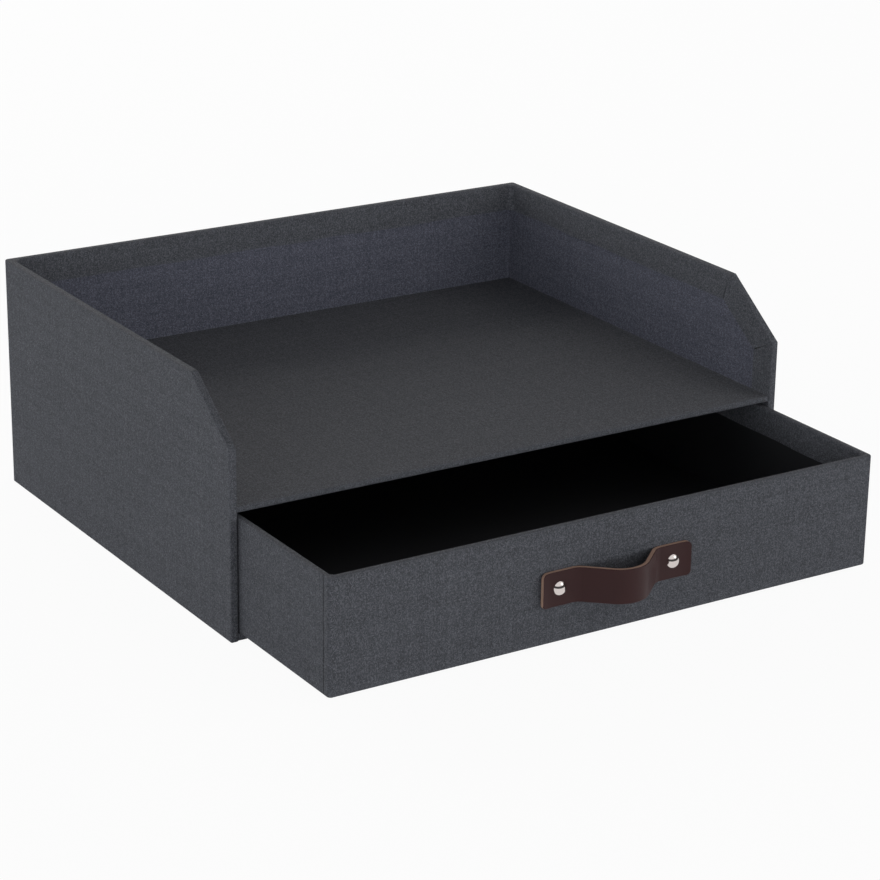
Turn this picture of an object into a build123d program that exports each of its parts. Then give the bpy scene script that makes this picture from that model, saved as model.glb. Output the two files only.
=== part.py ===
from build123d import *
from collections import namedtuple
from math import cos, radians, sin
import os

# Letter tray on a drawer case, made of stiff board wrapped in linen-look paper.
# Millimetres. +X is to the right, +Y to the back, +Z up. The origin is on the desk,
# under the middle of the case. The drawer is drawn partly open.

# ---- Case, outside sizes -----------------------------------------------------------
CASE_WIDTH = 330.0
CASE_DEPTH = 256.0
CASE_HEIGHT = 128.0
FRONT_EDGE_HEIGHT = 100.0      # where the slope of a side wall starts
SLOPE_DEPTH = 38.5             # how far back that slope runs before it meets the top
SHELF_TOP = 70.0               # the tray's floor, above the desk
FRONT_SETBACK = 0.8            # shelf and base stand this far behind the side walls' front
CASE_CORNER_RADIUS = 2.0       # the two back corners

# ---- Boards and papers -------------------------------------------------------------
CASE_BOARD = 3.2
SHELF_BOARD = 2.4
DRAWER_BOARD = 2.2
PAPER = 0.4                    # cover paper with its glue, and lining paper, the same
TURN_IN = 15.0                 # the cover paper's width past an edge, on the inner side

# ---- Drawer ------------------------------------------------------------------------
DRAWER_OUT = 86.0              # how far it is drawn out
DRAWER_SIDE_GAP = 0.75         # to each side wall
DRAWER_TOP_GAP = 2.2           # under the shelf
DRAWER_BOTTOM_GAP = 0.3        # over the base
DRAWER_BACK_GAP = 1.0          # to the back wall, with the drawer shut
DRAWER_CORNER_RADIUS = 2.2

# ---- Handle: a leather strap, bowed out between two studs ---------------------------
STRAP_LENGTH = 88.0            # end to end, measured along the drawer front
STRAP_WIDTH = 18.0
STRAP_THICKNESS = 2.4
STRAP_RISE = 15.5              # finger room at the middle of the bow
STRAP_SLANT = 42.0             # degrees, of the straight stretches beside the crown
CROWN_RADIUS = 14.0            # inner side of the bow
ROOT_RADIUS = 7.0              # hollow side of the bend where the bow leaves the front
STRAP_CORNER_RADIUS = 2.5
STRAP_CENTRE_HEIGHT = 33.3     # above the desk
STUD_SPACING = 67.3
STUD_HEAD_RADIUS = 3.8
STUD_HEAD_HEIGHT = 2.3
STUD_SHANK_RADIUS = 2.0
SHANK_CLEARANCE = 0.05
WASHER_RADIUS = 5.0
WASHER_THICKNESS = 0.8
SCREW_HEAD_RADIUS = 3.6
SCREW_HEAD_HEIGHT = 1.6
SCREW_RADIUS = 1.2
SCREW_LENGTH = 4.0
SLOT_WIDTH = 0.9
SLOT_DEPTH = 0.7

# ---- Worked out from the above -----------------------------------------------------
CASE_WALL = CASE_BOARD + 2 * PAPER
BASE_TOP = CASE_WALL
SHELF_UNDERSIDE = SHELF_TOP - SHELF_BOARD - 2 * PAPER
CASE_FRONT = -CASE_DEPTH / 2
CASE_BACK = CASE_DEPTH / 2
BAY_WIDTH = CASE_WIDTH - 2 * CASE_WALL
BAY_BACK = CASE_BACK - CASE_WALL

DRAWER_WALL = DRAWER_BOARD + 2 * PAPER
DRAWER_WIDTH = BAY_WIDTH - 2 * DRAWER_SIDE_GAP
DRAWER_DEPTH = CASE_DEPTH - CASE_WALL - DRAWER_BACK_GAP
DRAWER_BOTTOM = BASE_TOP + DRAWER_BOTTOM_GAP
DRAWER_TOP = SHELF_UNDERSIDE - DRAWER_TOP_GAP
DRAWER_FRONT = CASE_FRONT - DRAWER_OUT
DRAWER_INNER_FRONT = DRAWER_FRONT + DRAWER_WALL
DRAWER_MIDDLE = DRAWER_FRONT + DRAWER_DEPTH / 2

# A box of four upright walls, or three where its front is open.
# shape(inset, lift) is a solid that limits a wall's side view.
Walls = namedtuple("Walls", "width depth middle board radius open_front shape")


# ---- Limits of the walls' side view ------------------------------------------------
def case_side_view(inset, lift):
    """The case seen from the side, drawn in by inset along its front, slope and top."""
    low = lift - inset
    rear = CASE_BACK + inset
    corners = [
        (CASE_FRONT, low),
        (CASE_FRONT, FRONT_EDGE_HEIGHT),
        (CASE_FRONT + SLOPE_DEPTH, CASE_HEIGHT),
        (rear, CASE_HEIGHT),
        (rear, low),
    ]
    face = Plane.YZ * Polygon(*corners, align=None)
    if inset > 0:
        face = offset(face, -inset, kind=Kind.INTERSECTION)
    return extrude(face, CASE_WIDTH, both=True)


def drawer_side_view(inset, lift):
    """The drawer seen from the side: a plain rectangle, drawn in from its top by inset."""
    height = DRAWER_TOP - DRAWER_BOTTOM - lift - inset
    size = max(CASE_WIDTH, CASE_DEPTH) * 3
    return Pos(0, 0, DRAWER_BOTTOM + lift) * Box(size, size, height, align=STANDING)


STANDING = (Align.CENTER, Align.CENTER, Align.MIN)

CASE = Walls(CASE_WIDTH, CASE_DEPTH, 0.0, CASE_BOARD, CASE_CORNER_RADIUS, True, case_side_view)
DRAWER = Walls(
    DRAWER_WIDTH, DRAWER_DEPTH, DRAWER_MIDDLE, DRAWER_BOARD, DRAWER_CORNER_RADIUS, False, drawer_side_view
)


# ---- Walls: board, lining and cover paper ------------------------------------------
def plan(walls, outer, inner):
    """Plan of all walls between two depths below their outer faces."""
    block = Rectangle(walls.width - 2 * outer, walls.depth - 2 * outer)
    corners = block.vertices()
    if walls.open_front:
        corners = corners.group_by(Axis.Y)[-1]
    if walls.radius > outer:
        block = fillet(corners, walls.radius - outer)
    hollow_depth = walls.depth - 2 * inner
    hollow = Rectangle(walls.width - 2 * inner, hollow_depth)
    if walls.open_front:
        reach = 2 * walls.board + walls.radius
        hollow = Pos(0, -reach / 2) * Rectangle(walls.width - 2 * inner, hollow_depth + reach)
    return Pos(0, walls.middle) * (block - hollow)


def mitre_block(walls, side):
    """Tall wedge that holds one wall, ending on the 45 degree joints at its corners."""
    half_width = walls.width / 2
    half_depth = walls.depth / 2
    reach = walls.board + 2 * PAPER + walls.radius
    front_cut = 0.0 if walls.open_front else reach
    if side in ("left", "right"):
        corners = [
            (-half_width, -half_depth),
            (-half_width + reach, -half_depth + front_cut),
            (-half_width + reach, half_depth - reach),
            (-half_width, half_depth),
        ]
    else:
        corners = [
            (-half_width, half_depth),
            (-half_width + reach, half_depth - reach),
            (half_width - reach, half_depth - reach),
            (half_width, half_depth),
        ]
    wedge = Polygon(*corners, align=None)
    if side == "right":
        wedge = mirror(wedge, about=Plane.YZ)
    if side == "front":
        wedge = mirror(wedge, about=Plane.XZ)
    return extrude(Pos(0, walls.middle) * wedge, CASE_HEIGHT)


def layer(walls, side, outer, inner, inset, lift):
    """One wall's slice between two depths, inset from the free edges and lifted off the bottom."""
    slab = extrude(plan(walls, outer, inner), CASE_HEIGHT)
    return slab & mitre_block(walls, side) & walls.shape(inset, lift)


def wall_pieces(walls, side):
    """Board, lining and cover of one wall. The cover turns in over the free edges."""
    board_back = PAPER + walls.board
    board = layer(walls, side, PAPER, board_back, PAPER, PAPER)
    lining = layer(walls, side, board_back, board_back + PAPER, TURN_IN, PAPER)
    cover = layer(walls, side, 0.0, board_back + PAPER, 0.0, 0.0) - board - lining
    return {"board": board, "lining": lining, "cover": cover}


# ---- Flat panels: shelf and base ---------------------------------------------------
def panel_box(low, high, front, back, half_width):
    """A box between two heights and two depths, centred on the case."""
    size = (2 * half_width, back - front, high - low)
    return Pos(0, (front + back) / 2, low) * Box(*size, align=STANDING)


def panel_pieces(underside, top):
    """Board, cover and underlay of a panel that lies between the case's side walls.

    The cover lies on the top, goes down the front edge and turns back under it.
    """
    front = CASE_FRONT + FRONT_SETBACK
    half_width = BAY_WIDTH / 2
    board = panel_box(underside + PAPER, top - PAPER, front + PAPER, BAY_BACK, half_width)
    underlay = panel_box(underside, underside + PAPER, front + TURN_IN, BAY_BACK, half_width)
    cover = panel_box(underside, top, front, BAY_BACK, half_width) - board - underlay
    return {"board": board, "underlay": underlay, "cover": cover}


# ---- Drawer floor ------------------------------------------------------------------
def drawer_floor_pieces():
    """Floor board with paper under it and lining over it, inside the drawer's walls."""
    half_width = DRAWER_WIDTH / 2 - DRAWER_WALL
    front = DRAWER_INNER_FRONT
    back = DRAWER_FRONT + DRAWER_DEPTH - DRAWER_WALL
    board_low = DRAWER_BOTTOM + PAPER
    board_high = board_low + DRAWER_BOARD
    return {
        "underlay": panel_box(DRAWER_BOTTOM, board_low, front, back, half_width),
        "board": panel_box(board_low, board_high, front, back, half_width),
        "lining": panel_box(board_high, board_high + PAPER, front, back, half_width),
    }


# ---- Handle ------------------------------------------------------------------------
def strap_side(depth, crown, root):
    """One face of the strap seen from above, from its left end to its right end.

    depth is how far in front of the drawer its flat ends lie. crown and root are the
    radii of this face at the middle and where the bow leaves the drawer front.
    """
    slant = radians(STRAP_SLANT)
    inner_radii = CROWN_RADIUS + ROOT_RADIUS + STRAP_THICKNESS
    straight = (STRAP_RISE - inner_radii * (1 - cos(slant))) / sin(slant)
    half_span = inner_radii * sin(slant) + straight * cos(slant)
    end = (STRAP_LENGTH / 2, -depth)
    foot = (half_span, -depth)
    bend_middle = (half_span - root * sin(slant / 2), -depth - root * (1 - cos(slant / 2)))
    bend_end = (half_span - root * sin(slant), -depth - root * (1 - cos(slant)))
    crown_start = (bend_end[0] - straight * cos(slant), bend_end[1] - straight * sin(slant))
    top = (0.0, crown_start[1] - crown * (1 - cos(slant)))
    other = [(-x, y) for x, y in (crown_start, bend_end, bend_middle, foot, end)]
    return [
        Line(end, foot),
        ThreePointArc(foot, bend_middle, bend_end),
        Line(bend_end, crown_start),
        ThreePointArc(crown_start, top, other[0]),
        Line(other[0], other[1]),
        ThreePointArc(other[1], other[2], other[3]),
        Line(other[3], other[4]),
    ]


def handle_strap():
    """Leather strap of even thickness, bowed between two flat ends with round corners."""
    inner = strap_side(0.0, CROWN_RADIUS, ROOT_RADIUS + STRAP_THICKNESS)
    outer = strap_side(STRAP_THICKNESS, CROWN_RADIUS + STRAP_THICKNESS, ROOT_RADIUS)
    ends = [Line(inner[0] @ 0, outer[0] @ 0), Line(inner[-1] @ 1, outer[-1] @ 1)]
    outline = make_face(Curve() + inner + outer + ends)
    strap = Pos(0, DRAWER_FRONT, STRAP_CENTRE_HEIGHT) * extrude(outline, STRAP_WIDTH / 2, both=True)
    end_edges = strap.edges().filter_by(Axis.Y)
    strap = fillet(end_edges, STRAP_CORNER_RADIUS)
    return strap - stud_holes()


def at_studs(solid):
    """Copies of a solid, drawn along +Z, at both studs with its +Z facing the front."""
    facing = Plane((0, DRAWER_FRONT, STRAP_CENTRE_HEIGHT), x_dir=(1, 0, 0), z_dir=(0, -1, 0))
    return [facing * Pos(side * STUD_SPACING / 2, 0, 0) * solid for side in (-1, 1)]


def stud_holes():
    """Holes for the stud shanks, through the strap and the drawer's front wall."""
    length = 2 * (STRAP_THICKNESS + DRAWER_WALL)
    return at_studs(Cylinder(STUD_SHANK_RADIUS + SHANK_CLEARANCE, length))


def handle_studs():
    """Domed stud with a hollow shank that ends flush inside the drawer's front wall."""
    base_radius = STUD_HEAD_RADIUS
    sphere_radius = (base_radius**2 + STUD_HEAD_HEIGHT**2) / (2 * STUD_HEAD_HEIGHT)
    sphere = Pos(0, 0, STRAP_THICKNESS + STUD_HEAD_HEIGHT - sphere_radius) * Sphere(sphere_radius)
    keep = Pos(0, 0, STRAP_THICKNESS) * Cylinder(2 * base_radius, 2 * STUD_HEAD_HEIGHT, align=STANDING)
    shank_length = STRAP_THICKNESS + DRAWER_WALL
    shank = Pos(0, 0, -DRAWER_WALL) * Cylinder(STUD_SHANK_RADIUS, shank_length, align=STANDING)
    bore_depth = SCREW_LENGTH + SHANK_CLEARANCE
    bore = Pos(0, 0, -DRAWER_WALL) * Cylinder(SCREW_RADIUS + SHANK_CLEARANCE, bore_depth, align=STANDING)
    return at_studs((sphere & keep) + shank - bore)


def handle_washers():
    """Flat washers on the inside of the drawer's front wall."""
    disc = Cylinder(WASHER_RADIUS, WASHER_THICKNESS, align=STANDING)
    hole = Cylinder(SCREW_RADIUS + SHANK_CLEARANCE, 3 * WASHER_THICKNESS)
    return at_studs(Pos(0, 0, -DRAWER_WALL - WASHER_THICKNESS) * (disc - hole))


def handle_screws():
    """Slotted screws that go through the washers into the hollow shanks."""
    seat = -DRAWER_WALL - WASHER_THICKNESS
    head = Cylinder(SCREW_HEAD_RADIUS, SCREW_HEAD_HEIGHT, align=STANDING)
    slot = Box(3 * SCREW_HEAD_RADIUS, SLOT_WIDTH, 2 * SLOT_DEPTH)
    shaft_length = SCREW_LENGTH + WASHER_THICKNESS
    shaft = Pos(0, 0, SCREW_HEAD_HEIGHT) * Cylinder(SCREW_RADIUS, shaft_length, align=STANDING)
    return at_studs(Pos(0, 0, seat - SCREW_HEAD_HEIGHT) * (head + shaft - slot))


# ---- The whole object --------------------------------------------------------------
def case_nodes():
    """Three walls, a shelf and a base, each a board with its papers."""
    nodes = {}
    for side in ("left", "right", "back"):
        for name, piece in wall_pieces(CASE, side).items():
            nodes[f"{side}_wall_{name}"] = piece
    for name, piece in panel_pieces(SHELF_UNDERSIDE, SHELF_TOP).items():
        nodes[f"shelf_{name}"] = piece
    for name, piece in panel_pieces(0.0, BASE_TOP).items():
        nodes[f"base_{name}"] = piece
    return nodes


def drawer_nodes():
    """Four walls and a floor, with the handle on the front wall."""
    nodes = {}
    for side in ("front", "back", "left", "right"):
        for name, piece in wall_pieces(DRAWER, side).items():
            if side == "front":
                piece = piece - stud_holes()
            nodes[f"drawer_{side}_{name}"] = piece
    for name, piece in drawer_floor_pieces().items():
        nodes[f"drawer_floor_{name}"] = piece
    nodes["handle_strap"] = handle_strap()
    nodes["handle_studs"] = Compound(handle_studs())
    nodes["handle_washers"] = Compound(handle_washers())
    nodes["handle_screws"] = Compound(handle_screws())
    return nodes


os.makedirs("parts", exist_ok=True)
for node, shape in {**case_nodes(), **drawer_nodes()}.items():
    export_step(shape, f"parts/{node}.step")
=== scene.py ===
# %% [markdown]
# # Letter tray on a drawer case
#
# A desk tray of stiff board, wrapped all over in charcoal paper with a linen look. Three walls and
# a shelf make the tray, and a drawer with a leather pull runs under the shelf. The boards, the
# sizes and the slide come from the packed model, which is loaded here as a fixed frame. This file
# adds what the eye sees: the wraps with their folded edges, the pull, its studs and the finishes.

# %% Load the packed model
import math
import bmesh
import bpy
from mathutils import Matrix, Vector, noise


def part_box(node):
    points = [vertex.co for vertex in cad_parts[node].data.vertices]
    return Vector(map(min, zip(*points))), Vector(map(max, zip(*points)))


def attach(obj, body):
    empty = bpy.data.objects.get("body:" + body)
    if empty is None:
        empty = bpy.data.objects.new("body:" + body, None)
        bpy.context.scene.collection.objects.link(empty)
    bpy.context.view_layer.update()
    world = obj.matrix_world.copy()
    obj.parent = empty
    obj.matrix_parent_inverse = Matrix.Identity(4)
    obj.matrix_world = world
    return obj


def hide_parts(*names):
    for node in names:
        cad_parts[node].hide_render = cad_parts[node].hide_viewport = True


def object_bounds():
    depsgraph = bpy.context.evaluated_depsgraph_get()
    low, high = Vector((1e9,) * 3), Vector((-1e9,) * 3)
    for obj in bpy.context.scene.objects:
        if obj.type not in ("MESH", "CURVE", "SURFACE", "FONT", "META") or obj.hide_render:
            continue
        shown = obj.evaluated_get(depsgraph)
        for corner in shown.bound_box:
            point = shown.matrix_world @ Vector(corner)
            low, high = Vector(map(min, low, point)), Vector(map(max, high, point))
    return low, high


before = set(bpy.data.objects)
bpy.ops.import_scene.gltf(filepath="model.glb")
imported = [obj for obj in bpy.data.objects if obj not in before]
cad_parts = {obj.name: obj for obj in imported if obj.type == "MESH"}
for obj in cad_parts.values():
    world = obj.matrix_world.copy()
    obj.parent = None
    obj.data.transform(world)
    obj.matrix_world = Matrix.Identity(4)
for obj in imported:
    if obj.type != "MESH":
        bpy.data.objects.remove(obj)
cad_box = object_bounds()
MM = 0.001

# %% [markdown]
# ## Camera
#
# The camera looks through a long lens from the front left and a little above. It could be aimed
# with a Track To constraint. Here its turn is worked out once from the point it looks at, with the
# small tilt of the picture added, so nothing live is left in the scene.

# %% Camera
CAMERA_PLACE = Vector((-0.75748, -1.24573, 0.56851))
CAMERA_TARGET = Vector((-0.03709, -0.11254, 0.07677))
CAMERA_TILT = math.radians(0.834)
CAMERA_LENS = 116.5             # millimetres, as is the width of the sensor
CAMERA_SENSOR = 36.0


def placed(name, data):
    """A new object of the scene that shows the data."""
    thing = bpy.data.objects.new(name, data)
    bpy.context.collection.objects.link(thing)
    return thing


def aimed(place, target):
    """The matrix of a camera or a lamp that stands at a place and points at a target."""
    turn = (target - place).to_track_quat("-Z", "Y").to_matrix().to_4x4()
    return Matrix.Translation(place) @ turn


camera_data = bpy.data.cameras.new("camera")
camera_data.lens = CAMERA_LENS
camera_data.sensor_width = CAMERA_SENSOR
camera = placed("camera", camera_data)
camera.matrix_world = aimed(CAMERA_PLACE, CAMERA_TARGET) @ Matrix.Rotation(CAMERA_TILT, 4, "Z")
bpy.context.scene.camera = camera
print("camera to target:", round((CAMERA_TARGET - CAMERA_PLACE).length, 3), "m")

# %% [markdown]
# ## A small language for materials
#
# A material in Blender is a web of nodes. Written out link by link it is hard to read, so one small
# class wraps an output socket and turns Python arithmetic into Math nodes: `1 - mask` adds one
# Subtract node. Every other node comes from the `node` method of the web it belongs to.

# %% Sockets with arithmetic
class Wire:
    """An output socket of a node, with the arithmetic that adds Math nodes to it."""

    def __init__(self, web, socket):
        self.web = web
        self.socket = socket

    def math(self, operation, *values):
        return self.web.node("ShaderNodeMath", {"operation": operation}, list(values))

    def __add__(self, other):
        return self.math("ADD", self, other)

    def __radd__(self, other):
        return self.math("ADD", other, self)

    def __sub__(self, other):
        return self.math("SUBTRACT", self, other)

    def __rsub__(self, other):
        return self.math("SUBTRACT", other, self)

    def __mul__(self, other):
        return self.math("MULTIPLY", self, other)

    def __rmul__(self, other):
        return self.math("MULTIPLY", other, self)

    def __truediv__(self, other):
        return self.math("DIVIDE", self, other)

    def floor(self):
        return self.math("FLOOR", self)

    def fract(self):
        return self.math("FRACT", self)

    def sine(self):
        return self.math("SINE", self)

    def distance_from(self, value):
        return self.math("ABSOLUTE", self - value)

    def highest(self, other):
        return self.math("MAXIMUM", self, other)

    def beyond(self, edge, softness):
        """0 below the edge and 1 above it, with a soft step between."""
        settings = {"interpolation_type": "SMOOTHSTEP"}
        values = {"Value": self, "From Min": edge - softness, "From Max": edge + softness}
        return self.web.node("ShaderNodeMapRange", settings, values)


print("a wire can", ", ".join(name for name in vars(Wire) if not name.startswith("_")))

# %% The web of a material
MIX_FACTOR = 0                  # a Mix node has sockets for all its kinds of data,
MIX_FIRST = 6                   # and these are the ones for colours
MIX_SECOND = 7
MIX_RESULT = 2


class Web:
    """The node tree of a material or of the world."""

    def __init__(self, tree):
        self.tree = tree

    def plug(self, socket, value):
        """Gives an input a link or a plain value."""
        if isinstance(value, Wire):
            self.tree.links.new(value.socket, socket)
        else:
            socket.default_value = value

    def node(self, kind, settings=None, values=None, output=0):
        """A new node with its settings and inputs, as the wire that leaves one of its outputs."""
        made = self.tree.nodes.new(kind)
        for name, setting in (settings or {}).items():
            setattr(made, name, setting)
        pairs = values.items() if isinstance(values, dict) else enumerate(values or [])
        for name, value in pairs:
            self.plug(made.inputs[name], value)
        return Wire(self, made.outputs[output]) if made.outputs else None

    def outputs(self, names, kind, values=None):
        """Several outputs of one new node."""
        made = self.node(kind, values=values).socket.node
        return [Wire(self, made.outputs[name]) for name in names]

    def parts(self, vector):
        """The three coordinates of a vector."""
        return self.outputs("XYZ", "ShaderNodeSeparateXYZ", [vector])

    def vector(self, *values):
        return self.node("ShaderNodeCombineXYZ", values=list(values))

    def place(self):
        """The point's place in metres, which a piece takes with it when it moves."""
        return self.node("ShaderNodeTexCoord", output="Object")

    def blend(self, factor, first, second):
        """The first colour at factor 0 and the second at factor 1."""
        values = {MIX_FACTOR: factor, MIX_FIRST: first, MIX_SECOND: second}
        return self.node("ShaderNodeMix", {"data_type": "RGBA"}, values, MIX_RESULT)

    def noise(self, vector, scale, detail=2.0, roughness=0.5):
        """Soft cloudy noise from 0 to 1."""
        values = {"Vector": vector, "Scale": scale, "Detail": detail, "Roughness": roughness}
        return self.node("ShaderNodeTexNoise", values=values)

    def chance(self, *values):
        """A number from 0 to 1, drawn anew for each whole value."""
        settings = {"noise_dimensions": "2D"}
        return self.node("ShaderNodeTexWhiteNoise", settings, {"Vector": self.vector(*values)})

    def bump(self, height, depth, strength):
        """A normal that looks as if the surface rose by depth metres where height is 1."""
        values = {"Height": height, "Distance": depth, "Strength": strength}
        return self.node("ShaderNodeBump", values=values)


print("a web can", ", ".join(name for name in vars(Web) if not name.startswith("_")))

# %% Colours and new finishes
def linear(value):
    """One channel of a colour, from 0 to 255 on a screen, as an amount of light."""
    share = value / 255
    return ((share + 0.055) / 1.055) ** 2.4 if value > 10 else share / 12.92


def colour(red, green, blue):
    """A colour that is written as a screen shows it, as linear light."""
    return (linear(red), linear(green), linear(blue), 1.0)


def new_finish(name):
    """A new material with its web and its main shader."""
    material = bpy.data.materials.new(name)
    material.use_nodes = True
    return material, Web(material.node_tree), material.node_tree.nodes["Principled BSDF"]


print("charcoal as linear light:", [round(c, 4) for c in colour(74, 75, 79)])

# %% [markdown]
# ## Linen paper
#
# The cover is a paper pressed and printed to look like a plain weave. A picture of cloth would be
# the quick way, but it would blur close up. Here the threads are worked out: whole numbers count
# the threads across and along, a sine gives each its round back, and the two sets take turns on
# top. Each thread has its own shade, and shorter flecks on it, as yarn of mixed fibres has.

# %% Threads
THREAD_ACROSS = 0.50 * MM
THREAD_ALONG = 0.56 * MM
FLECK_LENGTH = 1.8 * MM
FLECKS_APART = 7.31             # between the noise of one thread and that of the next
OWN_SHARE = 0.25                # of a thread's own shade in how it looks
FLECK_SHARE = 1.2
SHADE_DROP = 0.2


def thread_shade(web, count, run, seed):
    """Shade of a thread: its own, and flecks that are long along it and one thread wide."""
    own = web.chance(count, seed, 0.0)
    place = web.vector(count * FLECKS_APART, run / FLECK_LENGTH, seed)
    flecks = web.noise(place, scale=1.0, detail=3.0, roughness=0.7)
    return own * OWN_SHARE + flecks * FLECK_SHARE - SHADE_DROP


across_count, along_count = round(10 * MM / THREAD_ACROSS), round(10 * MM / THREAD_ALONG)
print("threads to the centimetre:", across_count, "by", along_count)

# %% Weave
COLUMN_SEED = 3.0
ROW_SEED = 11.0
SWELL_SEED = 4.0
UNDERPASS = 0.35                # height of a thread where another goes over it
CROSSING_BLUR = 0.08
THREAD_SHARE = 0.62             # of the threads, the dots and the clouds in the shade
DOT_SHARE = 0.52
CLOUD_SHARE = 0.12
WEAVE_DROP = 0.05
# painted shade in the gaps between threads, and painted light on the threads' backs
HOLLOW_PAINTED_SHADE = 0.72             # of the gaps between threads
CREST_PAINTED_LIGHT = 0.34              # more than that on a thread's back
SWELL_HEIGHT = 1.2              # of the paper's unevenness, in heights of a thread
WEAVE_DEPTH = 0.07 * MM


def linen(shades, across, along, web, shader):
    """Plain weave over the coordinates across and along, in metres."""
    columns = across / THREAD_ACROSS
    rows = along / THREAD_ALONG
    column = columns.floor()
    row = rows.floor()
    turn = ((column + row) * 0.5).fract() * 2               # 0 and 1 like a chessboard
    column_back = (columns.fract() * math.pi).sine()
    row_back = (rows.fract() * math.pi).sine()
    upright = column_back * (UNDERPASS + turn * row_back * (1 - UNDERPASS))
    level = row_back * (UNDERPASS + (1 - turn) * column_back * (1 - UNDERPASS))
    height = upright.highest(level)
    column_shade = thread_shade(web, column, along, COLUMN_SEED)
    row_shade = thread_shade(web, row, across, ROW_SEED)
    on_top = (upright - level).beyond(0.0, CROSSING_BLUR)
    shade = column_shade * on_top + row_shade * (1 - on_top)
    dot = web.chance(column, row, 0.0)
    cloud = web.noise(web.vector(across, along, 0.0), scale=9.0, detail=3.0)
    shade = shade * THREAD_SHARE + dot * dot * DOT_SHARE + cloud * CLOUD_SHARE - WEAVE_DROP
    # painted shade: the colour is darker in the hollows of the weave and lighter on the threads'
    # backs
    shade = shade * (HOLLOW_PAINTED_SHADE + height * CREST_PAINTED_LIGHT)
    web.plug(shader.inputs["Base Color"], web.blend(shade, *shades))
    swell = web.noise(web.vector(across, along, SWELL_SEED), scale=55.0, detail=2.0)
    relief = web.bump(height + swell * SWELL_HEIGHT, WEAVE_DEPTH, strength=0.6)
    web.plug(shader.inputs["Normal"], relief)
    shader.inputs["Roughness"].default_value = 0.86
    shader.inputs["Specular IOR Level"].default_value = 0.25


print("a thread stands out by", WEAVE_DEPTH / MM, "mm")

# %% Linen on the wraps and on the linings
COVER_SHADES = (colour(28, 28, 32), colour(107, 108, 114))      # darkest and palest thread
# the lining's shades are the cover's paper painted paler and bluer: painted light, for the dimmer,
# bluer light inside the tray
LINING_SHADES_PAINTED_LIGHT = (colour(34, 34, 43), colour(113, 114, 127))     # a little bluer
FLAT_PLANES = ((0, 1), (0, 2), (1, 2))                          # pairs of x, y and z


def linen_on_wrap():
    """Linen that follows the map called cloth, which each wrap carries."""
    material, web, shader = new_finish("charcoal_linen")
    across, along, _ = web.parts(web.node("ShaderNodeUVMap", {"uv_map": "cloth"}))
    linen(COVER_SHADES, across, along, web, shader)
    return material


def linen_on_plane(first, second):
    """Linen on a flat lining, read from two of the object's own coordinates."""
    # painted light: the lining shades are paler and bluer than the cover's
    material, web, shader = new_finish("charcoal_linen_" + "xyz"[first] + "xyz"[second])
    place = web.parts(web.place())
    linen(LINING_SHADES_PAINTED_LIGHT, place[first], place[second], web, shader)
    return material


wrap_linen = linen_on_wrap()
lining_linen_painted_light = {pair: linen_on_plane(*pair) for pair in FLAT_PLANES}
print("linen:", wrap_linen.name, [material.name for material in lining_linen_painted_light.values()])

# %% [markdown]
# ## Black lining paper and board
#
# The drawer is lined with smooth black paper. It has no weave, only the faint cloudiness of its
# fibres and a slight unevenness from the glue, so two noises are enough: one fine and one wide. A
# flat colour would look like plastic. The board has the same finish in a dark tone, painted darker
# than bare board so that it reads as shade. It is hidden by the paper, and shows only where a joint
# opens.

# %% Plain papers
def fibre_paper(name, dark, pale, roughness, depth):
    """Smooth paper with short fibres and a soft glue waviness."""
    material, web, shader = new_finish(name)
    place = web.place()
    fibres = web.noise(place, scale=2600.0, detail=3.0, roughness=0.6)
    cloud = web.noise(place, scale=22.0, detail=3.0)
    web.plug(shader.inputs["Base Color"], web.blend(fibres * 0.6 + cloud * 0.4, dark, pale))
    web.plug(shader.inputs["Normal"], web.bump(fibres + cloud * 4, depth, strength=0.5))
    shader.inputs["Roughness"].default_value = roughness
    shader.inputs["Specular IOR Level"].default_value = 0.3
    return material


BLACKS = (colour(19, 19, 21), colour(41, 41, 45))
# the board is painted darker than bare board, so that an open joint shows painted shade
BOARD_GREYS_PAINTED_DARK = (colour(40, 38, 36), colour(62, 59, 55))
black_paper = fibre_paper("black_paper", *BLACKS, roughness=0.8, depth=0.03 * MM)
grey_board = fibre_paper("grey_board", *BOARD_GREYS_PAINTED_DARK, roughness=0.95, depth=0.05 * MM)
print("plain papers:", black_paper.name, grey_board.name)

# %% [markdown]
# ## A wrap, step by step
#
# The walls of the case are one long strip of board, covered by one sheet of paper. The sheet goes
# up the outside, over the edge and down the inside for 15 mm, where the lining takes over. A wrap
# starts as a box. Its open sides are deleted, and what is left gets the thickness of a wall, so
# the rims and the mitred corners come by themselves. Then the lining's area is cut away, the
# edges are rounded, and the surface that is left is given the thickness of paper.

# %% Boxes and cuts
UP = Vector((0, 0, 1))
BACK = Vector((0, 1, 0))
RIGHT = Vector((1, 0, 0))
CORNER = bmesh.types.BMVert
FACE = bmesh.types.BMFace
SAME_PLACE = 1e-7               # metres
STRAIGHT = 1e-6                 # an edge that leans by less is upright or level
CLOSE = 1e-5                    # two places that count as the same height, depth or width
MOSTLY = 0.5                    # share of a normal in the direction that its face looks in


def box_mesh(low, high):
    """A closed box between two corners."""
    bm = bmesh.new()
    bmesh.ops.create_cube(bm, size=1.0)
    bmesh.ops.scale(bm, vec=high - low, verts=bm.verts)
    bmesh.ops.translate(bm, vec=(low + high) / 2, verts=bm.verts)
    bm.normal_update()
    return bm


def of_kind(kind, items):
    """The corners or the faces among what an operator gives back."""
    return [item for item in items if isinstance(item, kind)]


def drop_faces(bm, faces):
    """Deletes faces, with the edges and corners that only they have."""
    bmesh.ops.delete(bm, geom=faces, context="FACES")


def touching(faces):
    """Faces with their edges and corners, as an operator wants them."""
    edges = dict.fromkeys(edge for face in faces for edge in face.edges)
    corners = dict.fromkeys(corner for face in faces for corner in face.verts)
    return [*faces, *edges, *corners]


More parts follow.
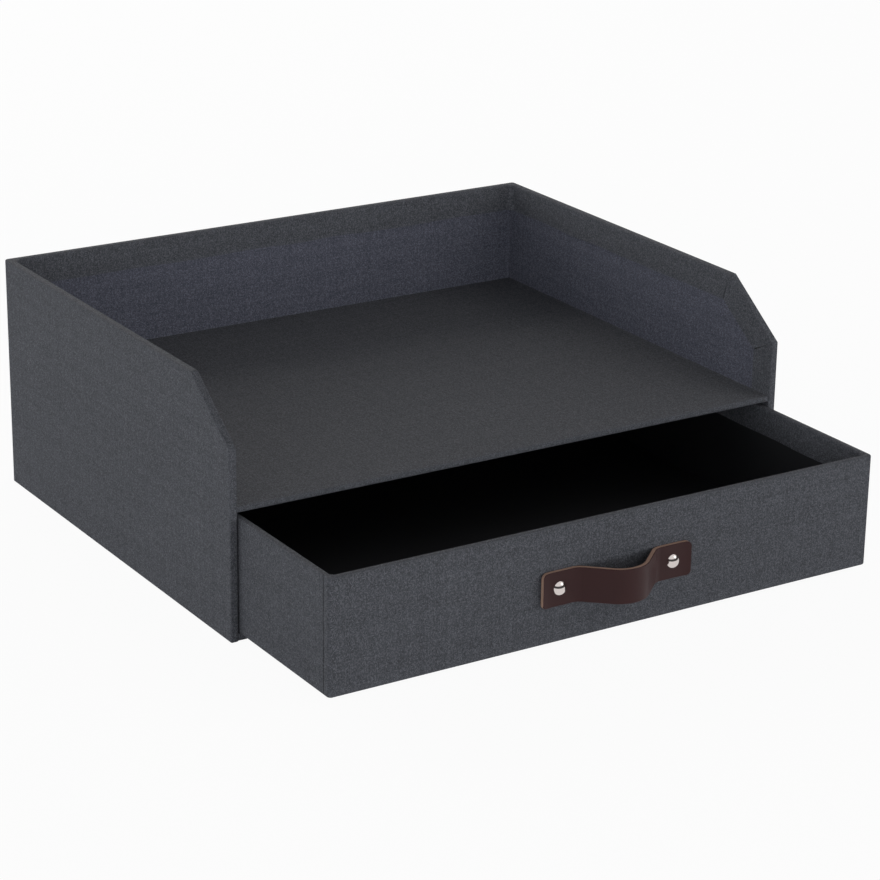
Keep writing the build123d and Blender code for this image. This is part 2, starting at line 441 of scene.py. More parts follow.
def cut(bm, faces, point, normal):
    """Cuts faces along a plane and returns all the pieces."""
    made = bmesh.ops.bisect_plane(
        bm, geom=touching(faces), plane_co=point, plane_no=normal, dist=SAME_PLACE
    )
    return of_kind(FACE, made["geom"])


def on_far_side(face, point, normal):
    """Whether a face's middle is on the side of a plane that its normal points away from."""
    return (face.calc_center_median() - point).dot(normal) < 0


def cut_region(bm, faces, planes):
    """Cuts faces along planes and returns those on the far side of every plane."""
    inside = list(faces)
    for plane in planes:
        inside = [face for face in cut(bm, inside, *plane) if on_far_side(face, *plane)]
    return inside


print("two places are one when they are", CLOSE / MM, "mm apart or less")

# %% Folds and rounded edges
FOLD_ANGLE = 0.4                # radians, more than the steps of a rounded corner


def fold_edges(bm):
    """Edges where two faces meet at more than a slight angle."""
    shared = [edge for edge in bm.edges if len(edge.link_faces) == 2]
    return [edge for edge in shared if edge.calc_face_angle() > FOLD_ANGLE]


def round_edges(bm, edges, radius, steps):
    """Rounds edges, and brings the normals up to date."""
    bmesh.ops.bevel(
        bm, geom=edges, offset=radius, offset_type="OFFSET", segments=steps, profile=0.5,
        affect="EDGES", clamp_overlap=True, material=-1,
    )
    bm.normal_update()


print("a fold turns by more than", round(math.degrees(FOLD_ANGLE)), "degrees")

# %% [markdown]
# ## From a mesh to a piece
#
# Real paper has its threads along the edges of each wall, so every wrap carries a map that is
# measured in metres on each face. Unwrapping would stretch it at the folds. The thickness of the
# paper is left to a Solidify modifier, and a Weighted Normal modifier keeps the flats flat.

# %% The cloth map and the finished piece
SIDEWAYS = 0.7                  # share of x in the normal of a face of a side wall
SHARP_ANGLE = math.radians(40)


def lay_cloth(bm):
    """A map in metres, so that threads run along and across each face."""
    layer = bm.loops.layers.uv.new("cloth")
    for face in bm.faces:
        across = BACK if abs(face.normal.x) > SIDEWAYS else RIGHT
        along = face.normal.cross(across).normalized()
        if max(along, key=abs) < 0:
            along = -along
        for loop in face.loops:
            loop[layer].uv = (loop.vert.co.dot(across), loop.vert.co.dot(along))


def finished(name, bm, material, body, nodes):
    """The mesh as an object of the scene that rides on a body and stands for CAD nodes."""
    mesh = bpy.data.meshes.new(name)
    bm.to_mesh(mesh)
    bm.free()
    piece = placed(name, mesh)
    mesh.materials.append(material)
    mesh.shade_smooth()
    mesh.set_sharp_from_angle(angle=SHARP_ANGLE)
    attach(piece, body)
    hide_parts(*nodes)
    print(f"{name}: {len(mesh.polygons)} faces")
    return piece


def keep_flats_flat(piece):
    """Large faces set the shading, so that a small rounded edge doesn't tint the flat beside it."""
    even = piece.modifiers.new("flats", "WEIGHTED_NORMAL")
    even.keep_sharp = True
    even.weight = 100


print("edges of more than", round(math.degrees(SHARP_ANGLE)), "degrees stay sharp")

# %% A finished wrap
PAPER = 0.4 * MM


def finished_wrap(name, bm, body, nodes):
    """A wrap with its cloth map, its linen and the thickness of paper, which goes inwards."""
    bm.normal_update()
    lay_cloth(bm)
    piece = finished(name, bm, wrap_linen, body, nodes)
    solid = piece.modifiers.new("paper", "SOLIDIFY")
    solid.thickness = PAPER
    solid.offset = -1.0
    solid.use_even_offset = True
    solid.use_quality_normals = True
    keep_flats_flat(piece)


print("paper:", PAPER / MM, "mm")

# %% [markdown]
# ## The case's wrap
#
# One sheet covers the left, back and right walls. The front corners of the side walls are cut on
# a slope, and the paper follows it. The turned-in paper doesn't reach into the two inner back
# corners: it takes a short way round, and its edge stands off there as a small lip. At both ends
# of each slope the paper is cut on the mitre so that it can turn in, and the cut opens a little.
# A Bevel modifier would round all edges alike, so each kind of edge is picked out and rounded by
# itself.

# %% Upright walls of even thickness
FRONT_EDGE_HEIGHT = 100.0 * MM
SLOPE_DEPTH = 38.5 * MM


def slope_plane(low, high):
    """A point on the slope of the side walls and the direction that it faces."""
    rise = high.z - FRONT_EDGE_HEIGHT
    return Vector((0, low.y, FRONT_EDGE_HEIGHT)), Vector((0, -rise, SLOPE_DEPTH)).normalized()


def wall_ring(low, high, thickness, open_front):
    """Upright walls round a box as one closed mesh, with the slope where the front is open."""
    bm = box_mesh(low, high)
    if open_front:
        point, facing = slope_plane(low, high)
        bmesh.ops.bisect_plane(
            bm, geom=touching(bm.faces), plane_co=point, plane_no=facing, clear_outer=True
        )
        bm.normal_update()
        drop_faces(bm, [face for face in bm.faces if face.normal.y < -MOSTLY])
    drop_faces(bm, [face for face in bm.faces if abs(face.normal.z) > MOSTLY])
    bmesh.ops.recalc_face_normals(bm, faces=bm.faces)
    bmesh.ops.solidify(bm, geom=bm.faces[:], thickness=thickness)
    bm.normal_update()
    return bm


def inner_faces(bm, middle):
    """The upright faces that look into the tray or the drawer."""
    upright = [face for face in bm.faces if abs(face.normal.z) < MOSTLY]
    return [face for face in upright if on_far_side(face, middle, face.normal)]


slope_angle = math.degrees(math.atan2(cad_box[1][2] - FRONT_EDGE_HEIGHT, SLOPE_DEPTH))
print("the slope rises at", round(slope_angle, 1), "degrees")

# %% Corners of the walls
STRIP_ANGLE = 0.5               # radians, more than between two strips of a rounded corner


def is_upright(edge):
    return (edge.verts[0].co - edge.verts[1].co).cross(UP).length < STRAIGHT


def is_corner_strip(edge):
    """Upright edges within a rounded corner."""
    return is_upright(edge) and edge.calc_face_angle() < STRIP_ANGLE


def corner_edges(bm, low, high, depth, open_front):
    """Upright folds that lie depth inside the outer corners."""
    found = []
    for edge in fold_edges(bm):
        place = edge.verts[0].co
        at_side = min(abs(place.x - low.x - depth), abs(place.x - high.x + depth)) < CLOSE
        at_back = abs(place.y - high.y + depth) < CLOSE
        at_front = abs(place.y - low.y - depth) < CLOSE and not open_front
        if is_upright(edge) and at_side and (at_back or at_front):
            found.append(edge)
    return found


print("a corner's strips meet at less than", round(math.degrees(STRIP_ANGLE)), "degrees")

# %% Walls with paper turned in
TURN_IN = 15.0 * MM
PROUD = 0.22 * MM               # the turned-in paper lies this far over the lining
WAVE = 0.28 * MM                # how far a hand-cut paper edge strays
FOLD_RADIUS = 0.8 * MM          # of paper folded over the edge of a board
FOLD_STEPS = 4
CORNER_STEPS = 6
BRIDGE_STEPS = 1
reach = TURN_IN + WAVE


def turned_in_walls(low, high, thickness, open_front, corner_radius, bridge_radius):
    """The outside, rims and turned-in strip of a ring of walls, as an open surface."""
    depth = thickness + PROUD
    bm = wall_ring(low, high, depth, open_front)
    planes = [(Vector((0, 0, high.z - reach)), UP)]
    if open_front:
        point, facing = slope_plane(low, high)
        planes.append((point - facing * reach, facing))
        planes.append((Vector((0, low.y + reach, 0)), -BACK))
    lining_area = []
    for face in inner_faces(bm, (low + high) / 2):
        lining_area += cut_region(bm, [face], planes)
    drop_faces(bm, lining_area)
    bm.normal_update()
    inner_corners = corner_edges(bm, low, high, depth, open_front)
    round_edges(bm, inner_corners, bridge_radius, BRIDGE_STEPS)
    outer_corners = corner_edges(bm, low, high, 0.0, open_front)
    round_edges(bm, outer_corners, corner_radius, CORNER_STEPS)
    rims = [edge for edge in fold_edges(bm) if not is_corner_strip(edge)]
    round_edges(bm, rims, FOLD_RADIUS, FOLD_STEPS)
    return bm


print("paper is turned in by", TURN_IN / MM, "mm")

# %% The cut edge of the turned-in paper
WAVE_STEP = 4.0 * MM
WAVE_PITCH = 35.0               # places of the noise to the metre
LIFT = 0.35 * MM                # how far the edge may stand off the lining
LIFT_MIDDLE = 0.6               # of that, where the noise is even


def cut_edges_inside(bm, low, high, depth, open_front):
    """The free edges of the turned-in paper on the flat inner faces of the walls."""
    found = []
    for edge in bm.edges:
        places = [corner.co for corner in edge.verts]
        from_side = [min(place.x - low.x, high.x - place.x) for place in places]
        from_end = [min(place.y - low.y, high.y - place.y) for place in places]
        on_side = all(abs(distance - depth) < CLOSE for distance in from_side)
        on_end = all(abs(distance - depth) < CLOSE for distance in from_end)
        above = min(place.z for place in places) > low.z + depth
        level = abs(places[0].z - places[1].z) < CLOSE
        if len(edge.link_faces) == 1 and (on_side or on_end) and above and (level or open_front):
            found.append(edge)
    return found


def wave_edges(bm, edges, elsewhere):
    """Makes edges stray and lift a little, as a cut by hand does, by noise from elsewhere."""
    for edge in edges:
        cuts = int(edge.calc_length() / WAVE_STEP)
        if cuts < 1:
            continue
        made = bmesh.ops.subdivide_edges(bm, edges=[edge], cuts=cuts)
        along = (edge.verts[0].co - edge.verts[1].co).normalized()
        for corner in of_kind(CORNER, made["geom_inner"]):
            facing = corner.link_faces[0].normal.copy()
            chance = noise.noise(corner.co * WAVE_PITCH + elsewhere)
            stray = facing.cross(along) * chance * WAVE * 2
            corner.co += stray + facing * (LIFT_MIDDLE + chance) * LIFT
    print("cut edges that stray:", len(edges))


# %% Mitre cuts
MITRE_GAP = 0.3 * MM


def slope_ends(low, high, inset):
    """The upper and the lower end of the slope, moved in from the edges of the wall by inset."""
    point, facing = slope_plane(low, high)
    top = high.z - inset
    front = low.y + inset
    depth = point.y - (inset + facing.z * (top - point.z)) / facing.y
    height = point.z - (inset + facing.y * (front - point.y)) / facing.z
    return Vector((0, depth, top)), Vector((0, front, height))


def nearest_corner(bm, place):
    return min(bm.verts, key=lambda corner: (corner.co - place).length)


def open_mitre(bm, fold, free_end):
    """Cuts the paper from the fold to its free edge, and opens the cut there."""
    fold_corner = nearest_corner(bm, fold)
    free_corner = nearest_corner(bm, free_end)
    made = bmesh.ops.connect_verts(bm, verts=[fold_corner, free_corner])["edges"]
    bmesh.ops.split_edges(bm, edges=made)
    place = free_corner.co.copy()
    for corner in [corner for corner in bm.verts if (corner.co - place).length < CLOSE]:
        aside = corner.link_faces[0].calc_center_median() - corner.co
        corner.co += aside.normalized() * MITRE_GAP
    print("mitre cut:", len(made), "edge, off by", round((place - free_end).length / MM, 3), "mm")


# %% The case's wrap
CASE_CORNER_RADIUS = 2.0 * MM
CASE_BRIDGE_RADIUS = 3.4 * MM   # where the turned-in paper cuts an inner corner short
CASE_NODES = ["left_wall_cover", "back_wall_cover", "right_wall_cover"]

left_low, left_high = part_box("left_wall_cover")
_, back_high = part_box("back_wall_cover")
case_low = left_low
case_high = Vector((-left_low.x, back_high.y, back_high.z))
case_wall = left_high.x - left_low.x

case_bm = turned_in_walls(
    case_low, case_high, case_wall, True, CASE_CORNER_RADIUS, CASE_BRIDGE_RADIUS
)
folds = slope_ends(case_low, case_high, FOLD_RADIUS)
free_ends = slope_ends(case_low, case_high, reach)
for side in (-1, 1):
    inner_side = RIGHT * side * (case_high.x - case_wall - PROUD)
    for fold, free_end in zip(folds, free_ends):
        open_mitre(case_bm, inner_side + fold, inner_side + free_end)
case_edges = cut_edges_inside(case_bm, case_low, case_high, case_wall + PROUD, True)
wave_edges(case_bm, case_edges, case_high * 10)
finished_wrap("case_wrap", case_bm, "case", CASE_NODES)

# %% [markdown]
# ## The drawer's wraps
#
# The drawer is wrapped in two sheets that meet in a hair-wide seam just behind each front corner.
# They could be drawn apart, but their edges line up best when both pieces are cut from one ring of
# walls, along an upright plane through each seam. The planes lie oblique, so only the two corners
# are in front of them, and these are drawer_front_wrap. The flat of the front, which is one sheet
# with the corners on the real drawer, is left to drawer_back_wrap here.

# %% The ring and its seams
DRAWER_CORNER_RADIUS = 2.2 * MM
DRAWER_BRIDGE_RADIUS = CASE_BRIDGE_RADIUS / 2
SEAM_PLACE = 2.6 * MM           # behind the end of the rounded corner
SEAM_WIDTH = 0.5 * MM

front_low, front_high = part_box("drawer_front_cover")
drawer_low = Vector((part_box("drawer_left_cover")[0].x, front_low.y, front_low.z))
drawer_high = Vector((-drawer_low.x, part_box("drawer_back_cover")[1].y, front_high.z))
drawer_wall = front_high.y - front_low.y
corner_end = drawer_low.y + DRAWER_CORNER_RADIUS


def seam_plane(side, shift):
    """The oblique upright plane through the seam at one front corner, which faces the back."""
    depth = drawer_wall + PROUD
    outer = Vector((side * drawer_high.x, corner_end + SEAM_PLACE, 0))
    inner = Vector((side * (drawer_high.x - depth), drawer_low.y + depth, 0))
    facing = (outer - inner).cross(UP).normalized()
    return outer + BACK * shift, facing * math.copysign(1, facing.y)


def beside_corner(bm, side):
    """The faces of one side wall behind the rounded front corner."""
    found = []
    for face in bm.faces:
        centre = face.calc_center_median()
        if centre.x * side > drawer_high.x - 2 * drawer_wall and centre.y > corner_end:
            found.append(face)
    return found


print("seams at", round((corner_end + SEAM_PLACE) / MM, 1), "mm")

# %% The two pieces of the ring
def drawer_piece(name, before_seams, nodes):
    """What is in front of the planes through the seams, or all the rest."""
    bm = turned_in_walls(
        drawer_low, drawer_high, drawer_wall, False, DRAWER_CORNER_RADIUS, DRAWER_BRIDGE_RADIUS
    )
    shift = 0.0 if before_seams else SEAM_WIDTH
    planes = {side: seam_plane(side, shift) for side in (-1, 1)}
    for side, plane in planes.items():
        cut(bm, beside_corner(bm, side), *plane)
    unwanted = []
    for face in bm.faces:
        side = -1 if face.calc_center_median().x < 0 else 1
        if on_far_side(face, *planes[side]) != before_seams:
            unwanted.append(face)
    drop_faces(bm, unwanted)
    free = cut_edges_inside(bm, drawer_low, drawer_high, drawer_wall + PROUD, False)
    wave_edges(bm, free, drawer_high * 10)
    finished_wrap(name, bm, "drawer", nodes)


drawer_piece("drawer_front_wrap", True, ["drawer_front_cover"])
drawer_piece(
    "drawer_back_wrap", False, ["drawer_left_cover", "drawer_right_cover", "drawer_back_cover"]
)

# %% [markdown]
# ## Shelf and base
#
# The paper of a flat panel lies on its top, rolls down over the front edge and ends a little way
# back underneath. A box with a bevel would do from above, but it would close the underside. So
# this paper is a bent sheet too, and only its front edge, which shows, is rounded.

# %% Shelf and base
def panel_wrap(name, node):
    """Cover of a flat panel between the side walls."""
    low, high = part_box(node)
    bm = box_mesh(low, high)
    hidden = [face for face in bm.faces if max(face.normal.y, abs(face.normal.x)) > MOSTLY]
    drop_faces(bm, hidden)
    underside = [face for face in bm.faces if face.normal.z < -MOSTLY]
    planes = [(Vector((0, low.y + TURN_IN, 0)), -BACK)]
    drop_faces(bm, cut_region(bm, underside, planes))
    bm.normal_update()
    round_edges(bm, fold_edges(bm), FOLD_RADIUS, FOLD_STEPS)
    finished_wrap(name, bm, "case", [node])


panel_wrap("shelf_wrap", "shelf_cover")
panel_wrap("base_wrap", "base_cover")

# %% [markdown]
# ## Leather and metal
#
# The pull is smooth brown leather, cut from a hide and left raw at the edges, where the tan inside
# shows. The studs that hold it are polished. Inside the drawer they end in plain slotted screws.
# One glossy brown would pass from afar. Close up, leather needs its creases, a cut edge its
# fibres, and steel a haze of fine scratches, and each of these is a noise of its own scale.

# %% Leather
LEATHER = colour(56, 29, 29)
LEATHER_DARK = colour(44, 19, 19)
CUT_EDGE = colour(182, 148, 130)
CUT_EDGE_DARK = colour(142, 110, 94)


def smooth_leather():
    """The outside of the hide, with fine creases."""
    material, web, shader = new_finish("brown_leather")
    place = web.place()
    cloud = web.noise(place, scale=60.0, detail=4.0)
    grain = web.noise(place, scale=900.0, detail=3.0, roughness=0.6)
    cells = {"Vector": place, "Scale": 1500.0}
    creases = web.node("ShaderNodeTexVoronoi", {"feature": "DISTANCE_TO_EDGE"}, cells)
    shade = cloud * 0.7 + grain * 0.3
    web.plug(shader.inputs["Base Color"], web.blend(shade, LEATHER_DARK, LEATHER))
    web.plug(shader.inputs["Roughness"], 0.42 + cloud * 0.12 + grain * 0.08)
    height = creases.beyond(0.0, 0.12) + grain
    web.plug(shader.inputs["Normal"], web.bump(height, 0.03 * MM, strength=0.35))
    shader.inputs["Specular IOR Level"].default_value = 0.22
    return material


def cut_leather():
    """The raw edge, with its loose fibres."""
    material, web, shader = new_finish("cut_leather_edge")
    place = web.place()
    fibres = web.noise(place, scale=1800.0, detail=4.0, roughness=0.7)
    cloud = web.noise(place, scale=140.0, detail=3.0)
    shade = fibres * 0.6 + cloud * 0.5
    web.plug(shader.inputs["Base Color"], web.blend(shade, CUT_EDGE_DARK, CUT_EDGE))
    web.plug(shader.inputs["Normal"], web.bump(fibres, 0.15 * MM, strength=0.8))
    shader.inputs["Roughness"].default_value = 0.9
    return material


leather = smooth_leather()
leather_edge = cut_leather()
print("leather:", leather.name, leather_edge.name)

# %% Metal
def steel(name, tint, roughness, haze):
    """Steel whose roughness goes up by as much as haze where it is scratched."""
    material, web, shader = new_finish(name)
    scratches = web.noise(web.place(), scale=700.0, detail=4.0)
    shader.inputs["Metallic"].default_value = 1.0
    shader.inputs["Base Color"].default_value = tint
    web.plug(shader.inputs["Roughness"], roughness + scratches * haze)
    return material


polished_steel = steel("polished_steel", colour(208, 199, 196), roughness=0.05, haze=0.06)
plain_steel = steel("plain_steel", colour(186, 185, 182), roughness=0.24, haze=0.2)
print("metal:", polished_steel.name, plain_steel.name)

# %% [markdown]
# ## The pull
#
# A strap that bows out between two studs. A curve with a profile would do, but a strap bent from
# a flat strip has even thickness and clear bends. So its cut end is pushed along the way that the
# strap takes, straight where the strap is straight and spun where it bends.

# %% Measures of the strap
STRAP_THICKNESS = 2.4 * MM
STRAP_RISE = 15.5 * MM          # of its outer face in the middle, from the drawer's front
STRAP_SLANT = math.radians(42)
CROWN_RADIUS = 14.0 * MM
ROOT_RADIUS = 7.0 * MM

strap_low, strap_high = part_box("handle_strap")
strap_width = strap_high.z - strap_low.z
strap_middle = (strap_low.z + strap_high.z) / 2
drawer_front = drawer_low.y
both_bends = CROWN_RADIUS + ROOT_RADIUS + STRAP_THICKNESS
slanted = (STRAP_RISE - both_bends * (1 - math.cos(STRAP_SLANT))) / math.sin(STRAP_SLANT)
half_span = both_bends * math.sin(STRAP_SLANT) + slanted * math.cos(STRAP_SLANT)
print("the bow of the strap is", round(2 * half_span / MM, 1), "mm wide")

# %% The strap's way
BEND_STEPS = 10
FOOT_STEPS = 6                  # of the straight end under a stud


def push_end(bm, faces, travel, steps):
    """Extrudes the strap's end straight on. With its edges named, no old end stays inside."""
    for _ in range(steps):
        made = bmesh.ops.extrude_face_region(bm, geom=touching(faces))["geom"]
        bmesh.ops.translate(bm, vec=travel / steps, verts=of_kind(CORNER, made))
        faces = of_kind(FACE, made)
    return faces


def bend_end(bm, faces, centre, angle):
    """Spins the strap's end round an upright axis."""
    made = bmesh.ops.spin(
        bm, geom=touching(faces), cent=centre, axis=UP, angle=angle, steps=BEND_STEPS,
        use_duplicate=False,
    )
    return of_kind(FACE, made["geom_last"])


def strap_mesh():
    """The strap with square edges, from its left end to its right."""
    bm = bmesh.new()
    bmesh.ops.create_grid(bm, x_segments=1, y_segments=1, size=0.5)
    bmesh.ops.rotate(bm, matrix=Matrix.Rotation(math.pi / 2, 3, "Y"), verts=bm.verts)
    bmesh.ops.scale(bm, vec=(1, STRAP_THICKNESS, strap_width), verts=bm.verts)
    start = Vector((strap_low.x, drawer_front - STRAP_THICKNESS / 2, strap_middle))
    bmesh.ops.translate(bm, vec=start, verts=bm.verts)
    foot = RIGHT * (-strap_low.x - half_span)
    out = RIGHT * slanted * math.cos(STRAP_SLANT) - BACK * slanted * math.sin(STRAP_SLANT)
    back = Vector((out.x, -out.y, 0))
    root = drawer_front - STRAP_THICKNESS - ROOT_RADIUS
    crown = drawer_front - STRAP_RISE + CROWN_RADIUS
    end = push_end(bm, bm.faces[:], foot, FOOT_STEPS)
    end = bend_end(bm, end, (-half_span, root, 0), -STRAP_SLANT)
    end = push_end(bm, end, out, 1)
    end = bend_end(bm, end, (0, crown, 0), 2 * STRAP_SLANT)
    end = push_end(bm, end, back, 1)
    end = bend_end(bm, end, (half_span, root, 0), -STRAP_SLANT)
    push_end(bm, end, foot, FOOT_STEPS)
    bmesh.ops.remove_doubles(bm, verts=bm.verts, dist=SAME_PLACE)
    bmesh.ops.recalc_face_normals(bm, faces=bm.faces)
    return bm


strap_bm = strap_mesh()
print("strap with square edges:", len(strap_bm.faces), "faces")

# %% The strap's edges
STRAP_CORNER_RADIUS = 2.5 * MM
STRAP_CORNER_STEPS = 8
STRAP_EDGE_RADIUS = 0.35 * MM
STRAP_EDGE_STEPS = 3
RIM_ANGLE = 1.0                 # radians, between the strap's faces and its cut rim
LIFT_START = 37.0 * MM          # from the strap's middle, just outside the studs
END_LIFT = 1.1 * MM


def at_strap_ends(edge):
    """The short edges at the four corners of the strap's outline."""
    first, second = (corner.co for corner in edge.verts)
    at_end = min(abs(first.x), abs(second.x)) > strap_high.x - CLOSE
    return at_end and abs(first.z - second.z) < STRAIGHT


def lift_ends(bm):
    """Lets the strap's ends stand off the drawer, outside the studs that press it down."""
    for corner in bm.verts:
        beyond = (abs(corner.co.x) - LIFT_START) / (strap_high.x - LIFT_START)
        corner.co.y -= END_LIFT * max(0.0, beyond) ** 2


outline_corners = [edge for edge in strap_bm.edges if at_strap_ends(edge)]
round_edges(strap_bm, outline_corners, STRAP_CORNER_RADIUS, STRAP_CORNER_STEPS)
rim_edges = [edge for edge in fold_edges(strap_bm) if edge.calc_face_angle() > RIM_ANGLE]
round_edges(strap_bm, rim_edges, STRAP_EDGE_RADIUS, STRAP_EDGE_STEPS)
lift_ends(strap_bm)
strap_bm.normal_update()
print("rounded:", len(outline_corners), "corners and", len(rim_edges), "edges")

# %% The strap's two finishes
NEARLY_WHOLLY = 0.95            # share of a normal
HARDLY = 0.05


def is_cut_rim(face):
    """Faces of raw leather: the long edges, the ends and the round corners between them."""
    centre = face.calc_center_median()
    on_long_edge = abs(centre.z - strap_middle) > strap_width / 2 - CLOSE
    on_end = abs(face.normal.x) > NEARLY_WHOLLY
    on_corner = abs(face.normal.y) < HARDLY and abs(centre.x) > half_span
    return on_long_edge or on_end or on_corner


for face in strap_bm.faces:
    face.material_index = 1 if is_cut_rim(face) else 0
strap = finished(
    "handle_strap_leather", strap_bm, leather, "drawer", ["handle_strap"]
)
strap.data.materials.append(leather_edge)
keep_flats_flat(strap)

# %% [markdown]
# ## Studs
#
# A stud is a turned part: a domed head, a shank through the strap and the drawer's front, and the
# bore that takes the screw. It could be put together from a sphere and two cylinders, but their
# seams would show in polished metal. So it is drawn as half an outline and spun round its axis.

# %% Studs
STUD_SPACING = 67.3 * MM
STUD_HEAD_RADIUS = 3.8 * MM
STUD_HEAD_HEIGHT = 2.3 * MM
STUD_SHANK_RADIUS = 2.0 * MM
STUD_BORE_RADIUS = 1.25 * MM
STUD_BORE_DEPTH = 4.05 * MM
DOME_STEPS = 12
ROUND_STEPS = 48


def stud_mesh():
    """A stud along +Z, with the underside of its head at height 0."""
    ball_radius = (STUD_HEAD_RADIUS**2 + STUD_HEAD_HEIGHT**2) / (2 * STUD_HEAD_HEIGHT)
    shank_end = -(STRAP_THICKNESS + drawer_wall)
    bore_end = shank_end + STUD_BORE_DEPTH
    bm = bmesh.new()
    tip = bm.verts.new((0, 0, STUD_HEAD_HEIGHT))
    arc = bmesh.ops.spin(
        bm, geom=[tip], cent=(0, 0, STUD_HEAD_HEIGHT - ball_radius), axis=BACK,
        angle=math.asin(STUD_HEAD_RADIUS / ball_radius), steps=DOME_STEPS,
    )
    last = of_kind(CORNER, arc["geom_last"])[0]
    outline = [
        (STUD_SHANK_RADIUS, 0.0),
        (STUD_SHANK_RADIUS, shank_end),
        (STUD_BORE_RADIUS, shank_end),
        (STUD_BORE_RADIUS, bore_end),
        (0.0, bore_end),
    ]
    for radius, height in outline:
        following = bm.verts.new((radius, 0, height))
        bm.edges.new((last, following))
        last = following
    bmesh.ops.spin(
        bm, geom=bm.verts[:] + bm.edges[:], cent=(0, 0, 0), axis=UP, angle=2 * math.pi,
        steps=ROUND_STEPS, use_merge=True,
    )
    bmesh.ops.remove_doubles(bm, verts=bm.verts, dist=SAME_PLACE)
    bmesh.ops.recalc_face_normals(bm, faces=bm.faces)
    return bm


for side, word in ((-1, "left"), (1, "right")):
    stud_bm = stud_mesh()
    seat = Vector((side * STUD_SPACING / 2, drawer_front - STRAP_THICKNESS, strap_middle))
    place = Matrix.Translation(seat) @ Matrix.Rotation(math.pi / 2, 4, "X")
    bmesh.ops.transform(stud_bm, matrix=place, verts=stud_bm.verts)
    name = f"handle_stud_{word}"
    finished(name, stud_bm, polished_steel, "drawer", ["handle_studs"])

# %% [markdown]
# ## Finishes of the parts that stay
#
# Boards, linings, washers and screws are plain shapes that the packed model already has right, so
# nothing is drawn again. They only get their finish, each lining with the weave laid in its own
# plane.

# %% Finishes of the parts that stay
LINING_PLANES = {"left_wall": (1, 2), "right_wall": (1, 2), "back_wall": (0, 2)}
dressed = []


def dress(node, material):
    """Gives a node of the packed model its finish."""
    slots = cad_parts[node].data.materials
    slots.clear()
    slots.append(material)
    dressed.append(node)


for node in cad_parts:
    if node.endswith("_board"):
        dress(node, grey_board)
    elif node.startswith("drawer_") and node.endswith("_lining"):
        dress(node, black_paper)
    elif node.endswith("_lining"):
        dress(node, lining_linen_painted_light[LINING_PLANES[node.removesuffix("_lining")]])
    elif node.endswith("_underlay"):
        dress(node, lining_linen_painted_light[(0, 1)])
dress("handle_washers", plain_steel)
dress("handle_screws", plain_steel)
print("parts that stay:", len(dressed))

# %% [markdown]
# ## Floor and backdrop
#
# The object stands on a white sweep. White paint alone would need so much light that the object
# washed out, so for the camera most of the floor's white is its own glow. The rest is real paint,
# so that a faint shadow stays. Polished metal has to see the same white.

# %% Floor
FLOOR_HALF = 9.0
FLOOR_GLOW = 0.95               # share of the glow in what the camera sees
FLOOR_PAINT = (0.85, 0.85, 0.85, 1.0)
WHITE = (1.0, 1.0, 1.0, 1.0)


def seen_directly(web):
    """1 for rays from the camera, in a mirror or through glass."""
    names = ("Is Camera Ray", "Is Glossy Ray", "Is Transmission Ray")
    camera_ray, mirror_ray, glass_ray = web.outputs(names, "ShaderNodeLightPath")
    return camera_ray.highest(mirror_ray).highest(glass_ray)


def white_floor():
    """White paint that glows for the camera."""
    material = bpy.data.materials.new("white_floor")
    material.use_nodes = True
    web = Web(material.node_tree)
    web.tree.nodes.clear()
    paint = web.node("ShaderNodeBsdfDiffuse", values={"Color": FLOOR_PAINT})
    glow = web.node("ShaderNodeEmission", values={"Color": WHITE, "Strength": 1.0})
    mixed = web.node("ShaderNodeMixShader", values=[seen_directly(web) * FLOOR_GLOW, paint, glow])
    web.node("ShaderNodeOutputMaterial", values=[mixed])
    return material


floor_bm = bmesh.new()
bmesh.ops.create_grid(floor_bm, x_segments=1, y_segments=1, size=FLOOR_HALF)
floor_mesh = bpy.data.meshes.new("floor")
floor_bm.to_mesh(floor_mesh)
floor_bm.free()
floor_mesh.materials.append(white_floor())
floor = placed("floor", floor_mesh)
bpy.context.scene.view_settings.view_transform = "Standard"
print("floor:", 2 * FLOOR_HALF, "m wide")

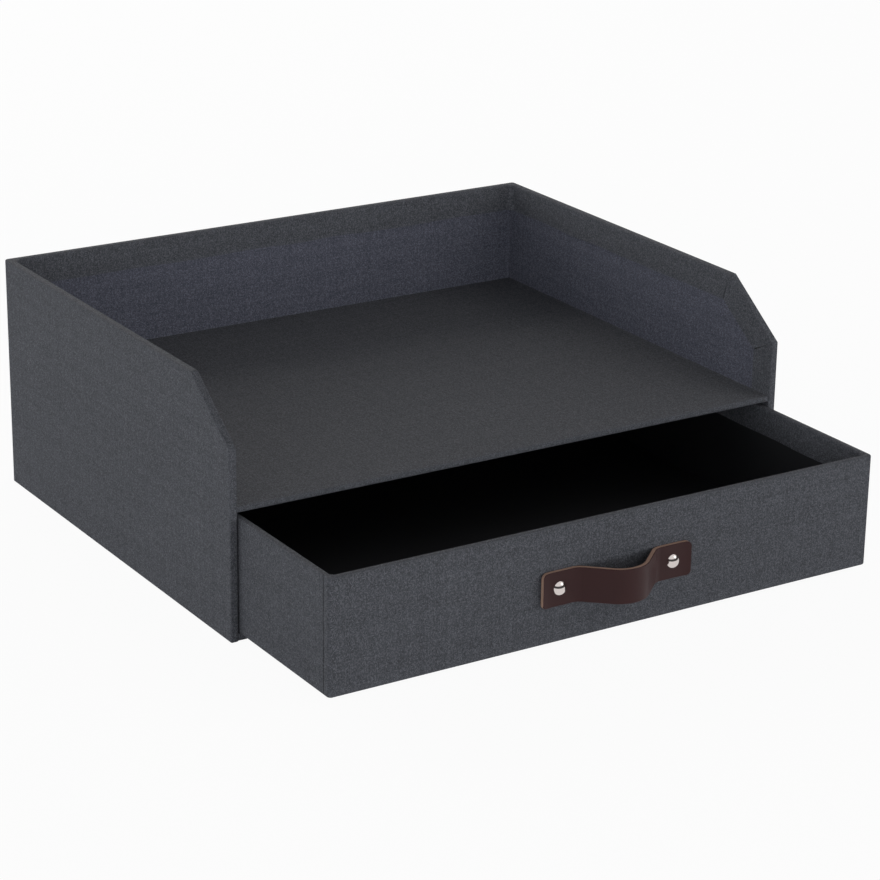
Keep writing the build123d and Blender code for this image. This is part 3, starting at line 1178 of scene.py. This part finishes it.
# %% [markdown]
# ## Light
#
# The object is lit as if it stood among bright walls under a dim ceiling, so what stands upright
# is lighter than what faces up. An even world can't do that, so its light fades with height. Two
# large soft lamps add a little from the front right and from behind. Polished metal shows the
# white backdrop, with one thin dark line where the room behind would be.

# %% World
WORLD_TINT = (0.93, 0.97, 1.0, 1.0)
WORLD_STRENGTH = 3.7
DARK_LINE_START = 0.02          # sines of the heights that the dark line lies between
DARK_LINE_TOP = 0.50
DARK_LINE_DEPTH = 0.92

world = bpy.data.worlds.new("studio")
bpy.context.scene.world = world
world.use_nodes = True
sky = Web(world.node_tree)
sky.tree.nodes.clear()
_, _, height = sky.parts(sky.node("ShaderNodeTexCoord", output="Generated"))
lowness = 1 - height.distance_from(0.0)
strength = lowness * lowness * lowness * WORLD_STRENGTH
light = sky.node("ShaderNodeBackground", values={"Color": WORLD_TINT, "Strength": strength})
[mirrored] = sky.outputs(["Is Glossy Ray"], "ShaderNodeLightPath")
line_start = height.beyond(DARK_LINE_START, 0.02)
line_end = height.beyond(DARK_LINE_TOP, 0.04)
dark_line = line_start * (1 - line_end) * mirrored
whiteness = 1 - dark_line * DARK_LINE_DEPTH
backdrop = sky.node("ShaderNodeBackground", values={"Color": WHITE, "Strength": whiteness})
both = sky.node("ShaderNodeMixShader", values=[seen_directly(sky), light, backdrop])
sky.node("ShaderNodeOutputWorld", values=[both])
print("the world's light has", len(sky.tree.nodes), "nodes")

# %% Lamps
LAMP_SIZE = 1.4
LAMP_TARGET = Vector((0.0, -0.05, 0.06))
WARM = (1.0, 0.97, 0.93)
LAMPS = (                       # name, place and power in watts
    ("front_right_lamp", Vector((1.57, -1.62, 1.92)), 10.0),
    ("back_lamp", Vector((0.0, 2.58, 1.29)), 26.0),
)

for name, place, power in LAMPS:
    lamp = bpy.data.lights.new(name, "AREA")
    lamp.shape = "SQUARE"
    lamp.size = LAMP_SIZE
    lamp.energy = power
    lamp.color = WARM
    placed(name, lamp).matrix_world = aimed(place, LAMP_TARGET)
    print(f"{name}: {power} W at {(place - LAMP_TARGET).length:.2f} m")

# %% [markdown]
# ## The end
